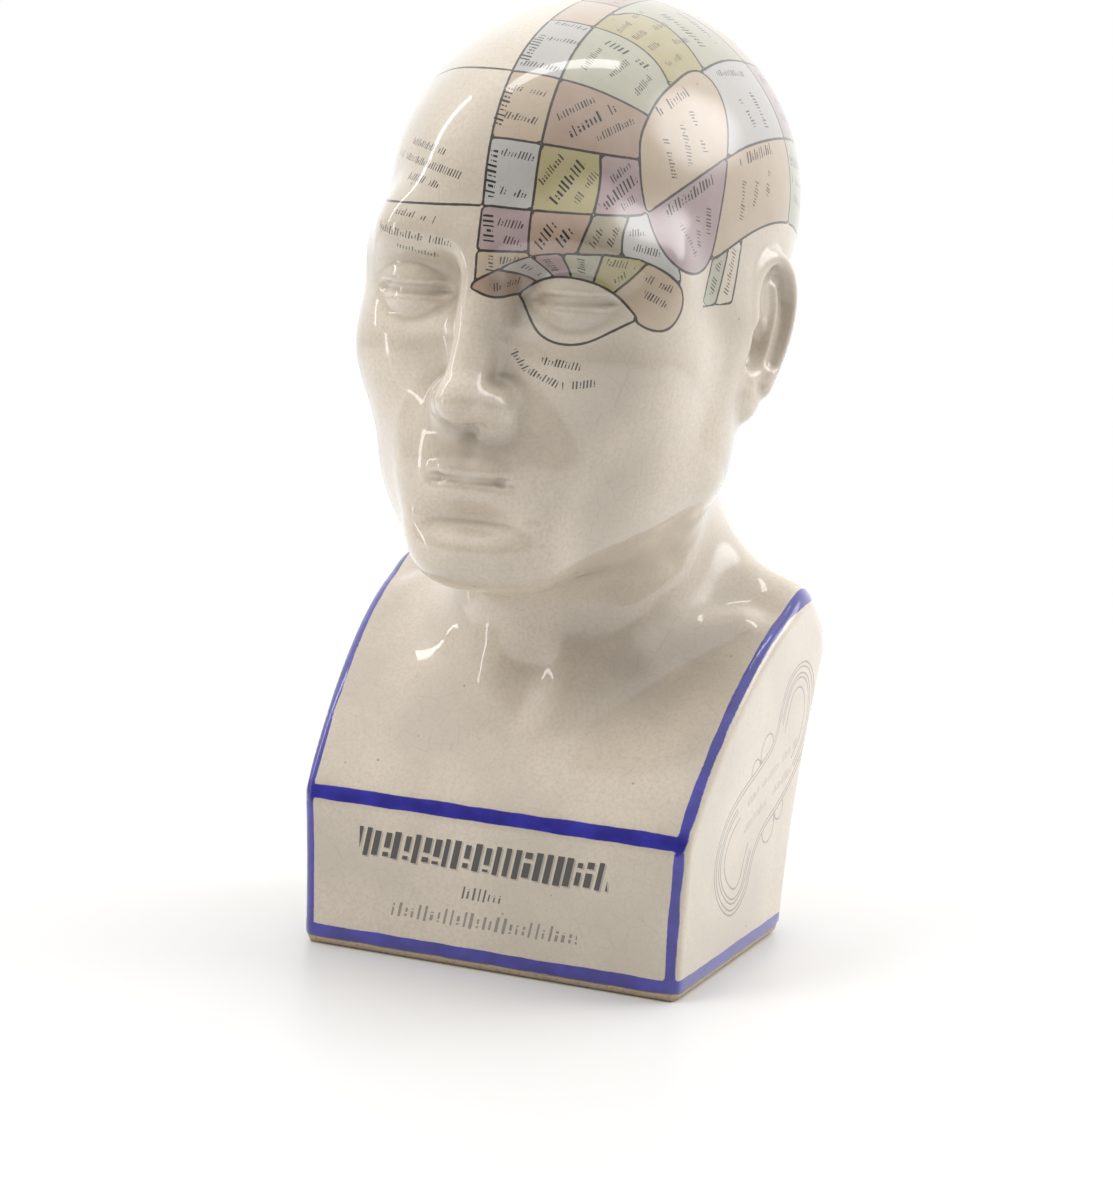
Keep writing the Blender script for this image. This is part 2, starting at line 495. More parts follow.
def map_cells(points):
    """The map's cells, painted one over another in this order: each one's tint and distance in the chart.

    A bare number is a line in the chart that keeps a cell from running on past its neighbours.
    """
    a, b, out, around = chart_of(points)
    inner = out - COLUMN
    ring = border(RING, a, b)
    rose_lower = border(ROSE_LOWER, a, b)
    rose_upper = border(ROSE_UPPER, a, b)
    rose_right = border(ROSE_RIGHT, a, b)
    olive_right = border(OLIVE_RIGHT, a, b)
    green_end = border(GREEN_END, a, b)
    arc_end = border(ARC_END, a, b)
    side_foot = border(SIDE_FOOT, a, b)
    side_end = border(SIDE_END, a, b)
    far_top = border(FAR_TOP, a, b)
    oval = closed_shape(OVAL, a, b)
    fan = closed_shape(FAN_TOP, a, b)
    right_a, right_b, right_out, right_around = chart_of(points * np.array((-1, 1, 1))[:, None])
    right_inner = right_out - MIDDLE
    right_foot = border(SIDE_FOOT, right_a, right_b)
    fan_reach = 0.2
    arc = np.radians(out)
    turn = np.degrees(np.arctan2(b - FAN_MIDDLE[1], a - FAN_MIDDLE[0])) * fan_reach
    full_turn = np.where(turn < -90 * fan_reach, turn + 360 * fan_reach, turn)
    strips = [border(line, a, b) for line in STRIPS]

    def meet(*sides):
        return np.maximum.reduce(sides)

    def column(low, high):
        return meet((low - around) * arc, (around - high) * arc, -inner, out - MIDDLE)

    def petal(low, high):
        return meet(fan, low * fan_reach - turn, turn - high * fan_reach)

    back_tints = ("rose", "yellow", "mauve", "green", "blue", "peach")
    back_cells = zip(back_tints, map(column, BACK_COLUMN, BACK_COLUMN[1:]))
    return (
        ("bare", meet(right_inner, border(RING, right_a, right_b), -border(UPPER_RIGHT, right_a, right_b))),
        ("bare", meet(right_inner, 128 - right_around, right_foot, right_around - 206)),
        ("plain", meet(-border(FAR_TOP, right_a, right_b), right_foot, right_a - 12, -42 - right_a)),
        ("rose", meet(inner, -ring, -rose_right, -9 - b)),
        ("yellow", meet(inner, ring, -rose_right, -rose_lower)),
        ("mauve", meet(ring, rose_right, -rose_lower, 40 - a)),
        ("rose", meet(inner, rose_lower, -rose_upper, 40 - a)),
        ("green", meet(inner, rose_upper, -green_end)),
        ("olive", meet(rose_right, -ring, -olive_right, -9 - b)),
        ("blue", meet(olive_right, -ring, -border(BLUE_END, a, b), -12 - b)),
        ("green", meet(inner, far_top, arc_end, -side_end)),
        ("yellow", meet(inner, green_end, -arc_end, 36 - b)),
        ("blue", meet(ring, -far_top, -side_end, a - 30)),
        ("peach", meet(-ring, side_foot, -side_end, a - 42)),
        ("peach", meet(inner, far_top, side_end, around - 128)),
        ("rose", meet(inner, far_top, 128 - around)),
        ("mauve", meet(ring, -far_top, side_end, -42 - a)),
        ("yellow", meet(inner, ring, -far_top, a + 42)),
        ("green", meet(-ring, side_foot, side_end, -36 - a)),
        ("rose", meet(inner, -ring, side_foot, a + 36)),
        ("green", meet(strips[0], -strips[1], -side_foot, -17 - b)),
        ("bare", meet(strips[1], -strips[2], -side_foot, -17 - b)),
        ("peach", meet(oval, ring)),
        ("mauve", meet(oval, -ring)),
        ("peach", column(-8.5, -2)),
        ("mauve", meet(column(-2, 15), -ring)),
        ("blue", meet(column(0, 40), ring, -rose_lower)),
        ("peach", meet(column(10, 60), rose_lower, -rose_upper)),
        ("blue", meet(column(20, 61.5), rose_upper)),
        ("peach", column(61.5, 80)),
        *back_cells,
        ("rose", petal(-60, 28)),
        ("blue", petal(28, 50)),
        ("mauve", petal(50, 70)),
        ("green", petal(70, 98)),
        ("yellow", petal(98, 131)),
        ("peach", meet(fan, 131 * fan_reach - full_turn)),
        ("bare", closed_shape(LENS, a, b)),
    )


def slope_over(points, triangles, values):
    """How fast a value changes over the surface at each point, per millimetre."""
    a, b, c = (points[:, triangles[:, corner]] for corner in range(3))
    normal = np.cross(b - a, c - a, axis=0)
    twice_area = np.linalg.norm(normal, axis=0) + 1e-9
    normal = normal / twice_area
    rise = sum(
        np.cross(normal, edge, axis=0) * values[triangles[:, corner]]
        for corner, edge in enumerate((c - b, a - c, b - a))
    )
    total = np.zeros_like(points)
    weight = np.zeros(points.shape[1])
    for corner in range(3):
        index = triangles[:, corner]
        weight += np.bincount(index, twice_area, len(weight))
        for axis in range(3):
            total[axis] += np.bincount(index, rise[axis], len(weight))
    return np.linalg.norm(total / np.maximum(weight, 1e-9), axis=0)


def map_fields(points, triangles):
    """One signed distance in millimetres for each tint, negative where the tint is, kept within 6 mm."""
    reach = 6
    fields = {tint: np.full(points.shape[1], 30.0) for tint in TINTS}
    for tint, cell in map_cells(points):
        for other in TINTS:
            if other != tint:
                fields[other] = np.maximum(fields[other], -cell)
        fields[tint] = np.minimum(fields[tint], cell)
    for tint, field in fields.items():
        slope = slope_over(points, triangles, np.clip(field, -reach, reach))
        fields[tint] = np.clip(field / np.clip(slope, 0.35, 2.5), -reach, reach)
    return fields


def stripe_field(points):
    """Distance in millimetres to the blue lines along the bust's edges, negative inside."""
    x, y, z = points
    front = np.maximum(outline_distance(y, z), -y)
    side = np.abs(x) - half_width_at(z)
    edge_depth = 1.1
    edge = np.maximum.reduce((-side - STRIPE_WIDTH, -front - edge_depth, y - STRIPE_BACK_END))
    panel_depth_limits = (-front - 1.5, y - 20)
    panel_top = np.maximum.reduce((np.abs(z - PANEL_TOP_STRIPE) - STRIPE_WIDTH / 2, *panel_depth_limits))
    foot = np.abs(z - FOOT_STRIPE_HEIGHT) - STRIPE_WIDTH / 2
    return np.maximum(np.minimum.reduce((edge, panel_top, foot)), z - STRIPE_TOP_END)


def hollowness(points):
    """How tightly the form turns inward: 0 on flat and rounded places, 1 in the deepest folds."""
    step = 1.2
    strength = 2.2
    bend = -6 * whole_form(points)
    for axis in range(3):
        for way in (-step, step):
            beside = points.copy()
            beside[axis] += way
            bend += whole_form(beside)
    return np.clip(-bend / step**2 * strength, 0, 1)


def scroll_fields(points):
    """Distances in millimetres to the ornament's closed outline and to its small curls, on the side faces."""
    x, y, z = points
    edge = 2.5
    on_side = np.abs(x) > half_width_at(z) - edge
    outline = closed_shape(SCROLL, y, z)
    curls = np.minimum.reduce([np.hypot(y - a, z - b) - radius for a, b, radius in SCROLL_CURLS])
    return [np.where(on_side, np.clip(field, -30, 6), 6) for field in (outline, curls)]


def spots_on_form(chart_points):
    """Where rays from the head's core through these places of the chart leave the form."""
    a, b = np.array(chart_points, float).T
    out = np.radians(np.hypot(a, b))
    around = np.arctan2(b, a)
    ray = np.stack((np.cos(out), -np.sin(out) * np.cos(around), np.sin(out) * np.sin(around)))
    core = np.array(CORE)[:, None]
    reach = np.full(len(a), 125.0)
    for _ in range(60):
        reach -= whole_form(core + ray * reach) * 0.9
    return (core + ray * reach).T


def surface_normal(spot):
    """The direction straight out of the form at a place on it."""
    probe = 0.05
    here = whole_form(spot[:, None])[0]
    slope = [whole_form((spot + probe * axis)[:, None])[0] - here for axis in np.eye(3)]
    return np.array(slope) / np.linalg.norm(slope)


def label_rows():
    """Every row of strokes: its two ends in the bust's millimetres, its height and its darkness."""
    map_rows = list(MAP_ROWS)
    for low, high in zip(BACK_COLUMN, BACK_COLUMN[1:]):
        start, end = radians(low + 3), radians(high - 4)
        for out, *kind in ((86.5, "heading"), (82,)):
            map_rows.append((out * cos(start), out * sin(start), out * cos(end), out * sin(end), *kind))
    map_rows += RIGHT_ROWS
    spots = spots_on_form([end for row in map_rows for end in (row[:2], row[2:4])])
    spots[-2 * len(RIGHT_ROWS):, 0] *= -1
    rows = []
    for row, start, end in zip(map_rows, spots[::2], spots[1::2]):
        height, darkness = (HEADING_HEIGHT, 1.0) if "heading" in row else (ROW_HEIGHT, 0.9)
        rows.append((start, end, height, darkness))
    for left, right, level, height, darkness in PANEL_ROWS:
        rows.append((np.array((left, 0, level)), np.array((right, 0, level)), height, darkness))
    for start, end, height, darkness in SIDE_ROWS:
        for side in (1, -1):
            ends = [np.array((side * half_width_at(z), y, z)) for y, z in (start, end)]
            rows.append((*ends[::side], height, darkness))
    return rows


def lay_rows(points):
    """Each row's own frame at the points near it, in the first layer that is free there.

    A layer's place holds how far along and across its row a point is, in heights, and 1 where a row is laid.
    Its kind holds the row's half length in heights, its seed and its darkness.
    """
    layers = []
    for seed, (start, end, height, darkness) in enumerate(label_rows()):
        middle = (start + end) / 2
        normal = surface_normal(middle)
        along = end - start
        along -= normal * along.dot(normal)
        half = np.linalg.norm(along) / 2
        along /= 2 * half
        gone = points - middle[:, None]
        u, v, w = along @ gone, np.cross(normal, along) @ gone, normal @ gone
        past_end = np.maximum.reduce((np.abs(u) - half, np.abs(v) - height / 2, np.abs(w) - ROW_DEPTH))
        near = past_end < ROW_MARGIN
        for layer in layers:
            if not layer["taken"][near].any():
                break
        else:
            layer = {
                "taken": np.zeros(points.shape[1], bool),
                "place": np.zeros((3, points.shape[1])),
                "kind": np.zeros((3, points.shape[1])),
            }
            layers.append(layer)
        layer["taken"] |= past_end < ROW_MARGIN + ROW_GAP
        layer["place"][:, near] = np.stack((u / height, v / height, np.ones_like(u)))[:, near]
        layer["kind"][:, near] = np.array(((half / height,), (seed,), (darkness,)))
    if len(layers) > ROW_LAYERS:
        raise RuntimeError(f"the rows need {len(layers)} layers")
    return layers


def panel_depth(node):
    """How far forward the front panel stands in the frame, in metres."""
    panel_middle = PANEL_HEIGHT * MILLIMETRE / 2
    return min(vertex.co.y for vertex in node.data.vertices if vertex.co.z < panel_middle)


def mesh_points(mesh):
    points = np.empty(len(mesh.vertices) * 3, np.float32)
    mesh.vertices.foreach_get("co", points)
    return points.reshape(-1, 3).astype(float).T


def onto_form(mesh, shift, rounds):
    """Moves a mesh's points onto the form's surface. The kept foot stays."""
    points = mesh_points(mesh) / MILLIMETRE
    points[1] -= shift / MILLIMETRE
    free = points[2] > KEPT_FOOT
    moved = points[:, free]
    probe = 0.04
    longest_move = 1.5
    for _ in range(rounds):
        depth = whole_form(moved)
        slope = np.empty_like(moved)
        for axis in range(3):
            beside = moved.copy()
            beside[axis] += probe
            slope[axis] = (whole_form(beside) - depth) / probe
        steepness = np.maximum((slope**2).sum(axis=0), 0.2)
        moved = moved - slope * np.clip(depth, -longest_move, longest_move) / steepness
    points[:, free] = moved
    points[1] += shift / MILLIMETRE
    mesh.vertices.foreach_set("co", (points * MILLIMETRE).T.astype(np.float32).ravel())
    mesh.update()


def smooth_mesh(mesh, factor, rounds):
    """Evens out the points of a mesh, except near its foot."""
    work = bmesh.new()
    work.from_mesh(mesh)
    movable = [vertex for vertex in work.verts if vertex.co.z > EVENED_FROM * MILLIMETRE]
    for _ in range(rounds):
        bmesh.ops.smooth_vert(
            work, verts=movable, factor=factor, use_axis_x=True, use_axis_y=True, use_axis_z=True
        )
    work.to_mesh(mesh)
    work.free()


def merged_copy(node):
    """A copy of a frame node's mesh, its doubles merged."""
    work = bmesh.new()
    work.from_mesh(node.data)
    bmesh.ops.remove_doubles(work, verts=work.verts, dist=0.00001)
    mesh = bpy.data.meshes.new(PIECE)
    work.to_mesh(mesh)
    work.free()
    piece = bpy.data.objects.new(PIECE, mesh)
    bpy.context.scene.collection.objects.link(piece)
    return piece


def remesh(piece, voxel):
    """Gives a piece even small faces."""
    modifier = piece.modifiers.new("Even faces", "REMESH")
    modifier.mode = "VOXEL"
    modifier.voxel_size = voxel
    piece.data.update_tag()
    bpy.context.view_layer.update()
    depsgraph = bpy.context.evaluated_depsgraph_get()
    even = bpy.data.meshes.new_from_object(piece.evaluated_get(depsgraph))
    piece.modifiers.clear()
    old = piece.data
    piece.data = even
    bpy.data.meshes.remove(old)


def is_within(vertex, shift, box):
    """Whether a point of the mesh is in a box, on either side of the head."""
    place = abs(vertex.co.x), vertex.co.y - shift, vertex.co.z
    return all(low < value / MILLIMETRE < high for value, low, high in zip(place, *box))


def swell_ears(mesh, shift):
    """Moves the ears' faces outward, so that their points reach the form's rims from outside."""
    work = bmesh.new()
    work.from_mesh(mesh)
    work.normal_update()
    for vertex in work.verts:
        if is_within(vertex, shift, EAR_BOX):
            vertex.co += vertex.normal * EAR_SWELL * MILLIMETRE
    work.to_mesh(mesh)
    work.free()


def divide_detail(mesh, shift):
    """Halves the faces of the face and the ears, where the form turns most tightly."""
    work = bmesh.new()
    work.from_mesh(mesh)
    boxes = (EAR_BOX, FACE_BOX)
    chosen = {vertex for vertex in work.verts if any(is_within(vertex, shift, box) for box in boxes)}
    edges = [edge for edge in work.edges if chosen.issuperset(edge.verts)]
    bmesh.ops.subdivide_edges(work, edges=edges, cuts=1, use_grid_fill=True)
    work.to_mesh(mesh)
    work.free()


class Value:
    """A socket in a shader. Python's operators on it add Math nodes."""

    def __init__(self, tree, socket=None):
        self.tree = tree
        self.socket = socket

    def make(self, kind, settings=None, inputs=None, output=0):
        """Any node: its settings are set first, then its sockets get values or links."""
        node = self.tree.nodes.new("ShaderNode" + kind)
        for name, value in (settings or {}).items():
            setattr(node, name, value)
        for key, value in (inputs or {}).items():
            if isinstance(value, Value):
                self.tree.links.new(value.socket, node.inputs[key])
            else:
                node.inputs[key].default_value = value
        return Value(self.tree, node.outputs[output])

    def math(self, operation, *others):
        inputs = dict(enumerate((self, *others)))
        return self.make("Math", {"operation": operation}, inputs)

    def __add__(self, other):
        return self.math("ADD", other)

    def __sub__(self, other):
        return self.math("SUBTRACT", other)

    def __rsub__(self, other):
        return self.make("Math", {"operation": "SUBTRACT"}, {0: other, 1: self})

    def __mul__(self, other):
        return self.math("MULTIPLY", other)

    def __truediv__(self, other):
        return self.math("DIVIDE", other)

    def __lt__(self, other):
        return self.math("LESS_THAN", other)

    def __gt__(self, other):
        return self.math("GREATER_THAN", other)

    def __abs__(self):
        return self.math("ABSOLUTE")

    __radd__ = __add__
    __rmul__ = __mul__

    def least(self, other):
        return self.math("MINIMUM", other)

    def most(self, other):
        return self.math("MAXIMUM", other)

    def between(self, low, high):
        """0 at the low end and 1 at the high end, eased. The ends may stand the other way round."""
        ends = {"Value": self, "From Min": min(low, high), "From Max": max(low, high)}
        ends["To Min"], ends["To Max"] = (0.0, 1.0) if low < high else (1.0, 0.0)
        return self.make("MapRange", {"interpolation_type": "SMOOTHSTEP"}, ends)

    def parts(self, kind="SeparateXYZ"):
        """The three numbers of a vector, or of a colour."""
        node = self.make(kind, None, {0: self}).socket.node
        return [Value(self.tree, output) for output in node.outputs]

    def mixed(self, below, above):
        """The colour below, covered by the colour above to this share."""
        inputs = {0: self, 6: below, 7: above}
        return self.make("Mix", {"data_type": "RGBA"}, inputs, output=2)

    def feed(self, node, name):
        self.tree.links.new(self.socket, node.inputs[name])


def stroke_mask(layer, title, nudge=(0.0, 0.0)):
    """Slanted strokes that stand for a row of print, measured in the row's height. A title's are bolder."""
    u, v, inside = layer["place"]
    half_length, seed, _ = layer["kind"]
    seed = seed.math("ROUND")
    u = u - nudge[0]
    v = v - nudge[1]
    slant = 0.2
    pitch = 0.41 - title * 0.07
    slanted = (u - v * slant) / pitch + 50
    number = slanted.math("FLOOR")
    pair = (number / 2).math("FLOOR")

    def chance(*place, output):
        cell = u.make("CombineXYZ", None, dict(enumerate(place)))
        return u.make("TexWhiteNoise", {"noise_dimensions": "3D"}, {"Vector": cell}, output)

    tall, wide, shift = chance(number, seed, output="Color").parts("SeparateColor")
    cut = chance(number, seed, output="Value")
    gap = chance(pair, seed + 0.5, output="Value")
    thick = abs(slanted - number - 0.5 + (shift - 0.5) * 0.16) < (wide * 0.13 + 0.14 + title * 0.1)
    above_foot = v > (tall * -0.12 - 0.34)
    top = ((tall * 2.6 - 0.6).between(0, 1) * 0.3 + 0.18).most(title * (0.36 + wide * 0.1))
    notch = abs(v - (shift - 0.5) * 0.6) < (title * 0.02 + 0.05)
    whole = 1 - notch * (cut < (0.45 - title * 0.1))
    shown = (gap > (0.1 - title * 0.1)) * (abs(u) < half_length) * (inside > 0.999)
    return thick * above_foot * (v < top) * whole * shown


class GlazedFinish:
    """The parts of the bust's finish. Its noises have scales per metre. All else is in millimetres."""

    def __init__(self, tree, settings):
        self.settings = settings
        self.start = Value(tree)
        self.place = self.start.make("TexCoord", output="Object")
        self.cloud = self.noise(26.0, 3.0)
        self.wobble = self.noise(420.0, 1.0) - 0.5
        self.brush = self.noise(150.0, 4.0)
        self.sway = self.noise(110.0, 0.0) - 0.5
        self.mottle = self.noise(900.0, 3.0)
        self.tints = {tint: self.measure(tint) for tint in TINTS}
        _, back, height = self.place.parts()
        self.back = back / MILLIMETRE
        self.height = height / MILLIMETRE

    def noise(self, scale, detail):
        inputs = {"Vector": self.place, "Scale": scale, "Detail": detail}
        return self.place.make("TexNoise", None, inputs, "Fac")

    def voronoi(self, feature, scale, output):
        inputs = {"Vector": self.place, "Scale": scale}
        return self.place.make("TexVoronoi", {"feature": feature}, inputs, output)

    def measure(self, name, output="Fac"):
        """What the mesh holds at each of its points under this name."""
        return self.start.make("Attribute", {"attribute_name": name}, output=output)

    def paint(self, name):
        return (*getattr(self.settings, name), 1)

    def glaze(self):
        """Cream glaze with greyer clouds and grain, darker where it has run together in hollows."""
        colour = self.cloud.between(0.35, 0.7).mixed(self.paint("glaze"), self.paint("glaze_shade"))
        colour = (self.mottle.between(0.35, 0.75) * 0.55).mixed(colour, self.paint("glaze_mottle"))
        return (self.measure("hollowness").between(0.0, 1.0) * 0.5).mixed(colour, self.paint("glaze_deep"))

    def washed(self, colour):
        """The map's cells, each in its tint."""
        strength = self.brush.between(0.25, 0.75) * 0.16 + 0.84
        for tint, field in self.tints.items():
            if tint not in UNTINTED:
                wash = (field + self.wobble * 0.5).between(0.12, -0.12) * strength
                colour = wash.mixed(colour, self.paint(tint))
        return colour

    def crazed(self, colour):
        """Fine cracks and a few iron specks."""
        cracks = self.voronoi("DISTANCE_TO_EDGE", 210.0, 0).between(0.03, 0.0)
        colour = (cracks * (self.cloud.between(0.4, 0.6) * 0.16 + 0.06)).mixed(colour, self.paint("crackle"))
        gap = self.voronoi("F1", 190.0, 0)
        chance = self.voronoi("F1", 190.0, 1).parts("SeparateColor")[0]
        return ((gap < 0.09) * (chance < 0.06) * 0.5).mixed(colour, self.paint("speck"))

    def borders(self):
        """Share of ink along the edges of the map's cells."""
        first, *others = self.tints.values()
        nearest = abs(first)
        for field in others:
            nearest = nearest.least(abs(field))
        return (nearest + self.wobble * 0.22).between(0.46, 0.30) * 0.92

    def strokes(self, ink):
        """Adds every row of strokes to the ink. A title, which is darker than 1.1, has a pale shadow."""
        for number in range(ROW_LAYERS):
            layer = {
                "place": self.measure(f"row_place_{number}", "Vector").parts(),
                "kind": self.measure(f"row_kind_{number}", "Vector").parts(),
            }
            darkness = layer["kind"][2]
            title = darkness > 1.1
            if number == 0:
                ink = ink.most(stroke_mask(layer, title, (0.055, -0.045)) * title * 0.35)
            ink = ink.most(stroke_mask(layer, title) * darkness.least(0.97))
        return ink

    def ornament(self):
        """Share of ink on the scroll: lines beside its outline, more of them at its two ends, and curls."""
        scroll = self.measure("scroll")
        curls = self.measure("curls")
        along = self.back * 0.73 + self.height * 0.68
        at_ends = abs(along - SCROLL_MIDDLE) > 19
        lines = abs(scroll).least(abs(scroll + 1.5)).least(abs(curls).most(0.05 - scroll))
        end_lines = abs(scroll + 3.6).least(abs(scroll + 5.0)).least(abs(scroll + 8.2)) + (1 - at_ends) * 9
        return (lines.least(end_lines) + self.wobble * 0.1).between(0.36, 0.2) * 0.6

    def striped(self, colour):
        """The lines painted by hand along the bust's edges, thinner in places."""
        stripe = (self.measure("stripes") + self.wobble * 0.2 + self.sway * 0.6).between(0.16, -0.12)
        thin = self.brush.between(0.3, 0.75) * (self.mottle * 0.6 + 0.5)
        return (stripe * 0.97).mixed(colour, thin.mixed(self.paint("stripe"), self.paint("stripe_thin")))

    def footed(self, colour):
        """The colour with bare clay at the foot, and how bare each place is."""
        foot = self.height + self.sway * 0.9 + self.wobble * 0.4
        bare = foot.between(2.7, 2.3)
        grain = self.mottle.between(0.45, 0.75) * 0.4
        clay = grain.mixed(self.paint("clay"), self.paint("clay_edge"))
        colour = (foot.between(3.3, 2.5) * 0.8).mixed(colour, self.paint("clay_edge"))
        return bare.mixed(colour, clay), bare

    def ripples(self, bare):
        """Slow waves in the glaze, and the grain of bare clay."""
        waves = self.noise(60.0, 1.0) * 0.6 + self.noise(240.0, 1.0) * 0.06
        height = waves + bare * self.noise(2500.0, 2.0) * 0.5
        return self.start.make("Bump", None, {"Strength": 0.35, "Distance": 0.0006, "Height": height})


def glazed_ceramic(settings):
    material = bpy.data.materials.new("Glazed ceramic")
    material.use_nodes = True
    shader = material.node_tree.nodes["Principled BSDF"]
    finish = GlazedFinish(material.node_tree, settings)
    colour = finish.crazed(finish.washed(finish.glaze()))
    ink = finish.strokes(finish.borders()).most(finish.ornament())
    colour = ink.mixed(colour, finish.paint("ink"))
    colour, bare = finish.footed(finish.striped(colour))
    colour.feed(shader, "Base Color")
    (bare * 0.45 + 0.32).feed(shader, "Roughness")
    (1 - bare).feed(shader, "Coat Weight")
    finish.ripples(bare).feed(shader, "Normal")
    shader.inputs["Coat Roughness"].default_value = 0.05
    shader.inputs["Coat IOR"].default_value = 1.55
    shader.inputs["IOR"].default_value = 1.45
    return material


def colour_setting(name, description, default):
    return bpy.props.FloatVectorProperty(
        name=name, description=description, default=default, subtype="COLOR", min=0.0, max=1.0
    )


class BustSettings(bpy.types.PropertyGroup):
    """The size of the bust's faces and the colours of its finish."""

    face_size: bpy.props.FloatProperty(
        name="Face size",
        description="Width of the mesh's faces before the face and ears are divided",
        default=0.0017,
        unit="LENGTH",
    )
    glaze: colour_setting("Glaze", "Colour of the cream glaze", (0.66, 0.57, 0.46))
    glaze_shade: colour_setting("Glaze shade", "Colour of the greyer clouds in the glaze", (0.54, 0.47, 0.38))
    glaze_mottle: colour_setting("Glaze mottle", "Colour of the fine grain in the glaze", (0.50, 0.44, 0.36))
    glaze_deep: colour_setting("Deep glaze", "Colour of the glaze that has run together", (0.40, 0.34, 0.26))
    crackle: colour_setting("Crackle", "Colour of the fine cracks in the glaze", (0.3, 0.26, 0.21))
    speck: colour_setting("Speck", "Colour of the iron specks", (0.16, 0.1, 0.06))
    peach: colour_setting("Peach", "Wash of the peach cells", (0.45, 0.355, 0.26))
    rose: colour_setting("Rose", "Wash of the rose cells", (0.34, 0.245, 0.185))
    mauve: colour_setting("Mauve", "Wash of the mauve cells", (0.33, 0.245, 0.25))
    yellow: colour_setting("Yellow", "Wash of the yellow cells", (0.36, 0.31, 0.155))
    green: colour_setting("Green", "Wash of the green cells", (0.37, 0.36, 0.275))
    blue: colour_setting("Blue", "Wash of the blue-grey cells", (0.42, 0.405, 0.385))
    olive: colour_setting("Olive", "Wash of the olive cell", (0.30, 0.26, 0.18))
    ink: colour_setting("Ink", "Colour of the printed lines and strokes", (0.022, 0.018, 0.016))
    stripe: colour_setting("Stripe", "Colour of the painted edge lines", (0.009, 0.007, 0.22))
    stripe_thin: colour_setting("Thin stripe", "Colour where the edge lines are thin", (0.03, 0.028, 0.40))
    clay: colour_setting("Clay", "Colour of the bare clay at the foot", (0.50, 0.39, 0.27))
    clay_edge: colour_setting("Clay edge", "Colour of the rust where the glaze ends", (0.10, 0.055, 0.035))


class StudioSettings(bpy.types.PropertyGroup):
    """The camera and the lights."""

    azimuth: bpy.props.FloatProperty(
        name="Azimuth",
        description="Angle of the camera from the front, towards the figure's left",
        default=radians(23.33),
        subtype="ANGLE",
    )
    elevation: bpy.props.FloatProperty(
        name="Elevation",
        description="Angle of the camera above level",
        default=radians(10.51),
        subtype="ANGLE",
    )
    distance: bpy.props.FloatProperty(
        name="Distance",
        description="From the camera to the middle of the bust",
        default=0.95721,
        unit="LENGTH",
    )
    key_light: bpy.props.FloatProperty(
        name="Key light",
        description="Power of the main softbox, which the others follow",
        default=5.5,
        unit="POWER",
    )
    room_glow: bpy.props.FloatProperty(
        name="Room glow",
        description="Brightness of the white ceiling and back wall",
        default=1.15,
    )
    window_glow: bpy.props.FloatProperty(
        name="Window glow",
        description="Brightness of the soft window at the figure's left, above the glow of the room",
        default=3.0,
    )
    front_glow: bpy.props.FloatProperty(
        name="Front glow",
        description="Brightness of the room behind the camera",
        default=0.02,
    )


def store(mesh, name, values):
    """Keeps one number, or three, for each point of the mesh under this name."""
    kind, field = ("FLOAT", "value") if values.ndim == 1 else ("FLOAT_VECTOR", "vector")
    layer = mesh.attributes.new(name, kind, "POINT")
    layer.data.foreach_set(field, values.T.astype(np.float32).ravel())


def mark_surface(piece):
    """Measures on the bust where the map, the strokes and the edge lines are painted."""
    mesh = piece.data
    points = mesh_points(mesh) / MILLIMETRE
    points[1] -= piece["panel_depth"] / MILLIMETRE
    mesh.calc_loop_triangles()
    triangles = np.empty(len(mesh.loop_triangles) * 3, np.int32)
    mesh.loop_triangles.foreach_get("vertices", triangles)
    triangles = triangles.reshape(-1, 3)
    for tint, field in map_fields(points, triangles).items():
        store(mesh, tint, field)
    scroll, curls = scroll_fields(points)
    store(mesh, "hollowness", hollowness(points))
    store(mesh, "stripes", stripe_field(points))
    store(mesh, "scroll", scroll)
    store(mesh, "curls", curls)
    for number, layer in enumerate(lay_rows(points)):
        store(mesh, f"row_place_{number}", layer["place"])
        store(mesh, f"row_kind_{number}", layer["kind"])


class BUST_OT_form(bpy.types.Operator):
    """Makes the bust's finely rounded form and hides the frame's own"""

    bl_idname = "bust.form"
    bl_label = "Bust"

    def execute(self, context):
        settings = context.scene.bust_settings
        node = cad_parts["bust"]
        shift = panel_depth(node)
        piece = merged_copy(node)
        remesh(piece, settings.face_size)
        swell_ears(piece.data, shift)
        onto_form(piece.data, shift, rounds=9)
        remesh(piece, settings.face_size)
        onto_form(piece.data, shift, rounds=2)
        smooth_mesh(piece.data, factor=0.5, rounds=2)
        divide_detail(piece.data, shift)
        onto_form(piece.data, shift, rounds=3)
        smooth_mesh(piece.data, factor=0.4, rounds=1)
        onto_form(piece.data, shift, rounds=3)
        for polygon in piece.data.polygons:
            polygon.use_smooth = True
        piece["panel_depth"] = shift
        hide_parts("bust")
        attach(piece, "root")
        return {"FINISHED"}


class BUST_OT_finish(bpy.types.Operator):
    """Gives the bust its glaze"""

    bl_idname = "bust.finish"
    bl_label = "Glaze"

    def execute(self, context):
        piece = bpy.data.objects[PIECE]
        mark_surface(piece)
        piece.data.materials.clear()
        piece.data.materials.append(glazed_ceramic(context.scene.bust_settings))
        return {"FINISHED"}


# The studio, in metres. The camera turns a little about its own axis and aims beside the bust's middle.
CAMERA_ROLL = radians(2.3)
LENS_LENGTH = 96
AIM_HEIGHT = 0.13
AIM_OFFSET = (0.01709, -0.01349)
# The direction of the soft window that the side of the head reflects.
WINDOW_SIDE = (0.725, 0.504, 0.469)
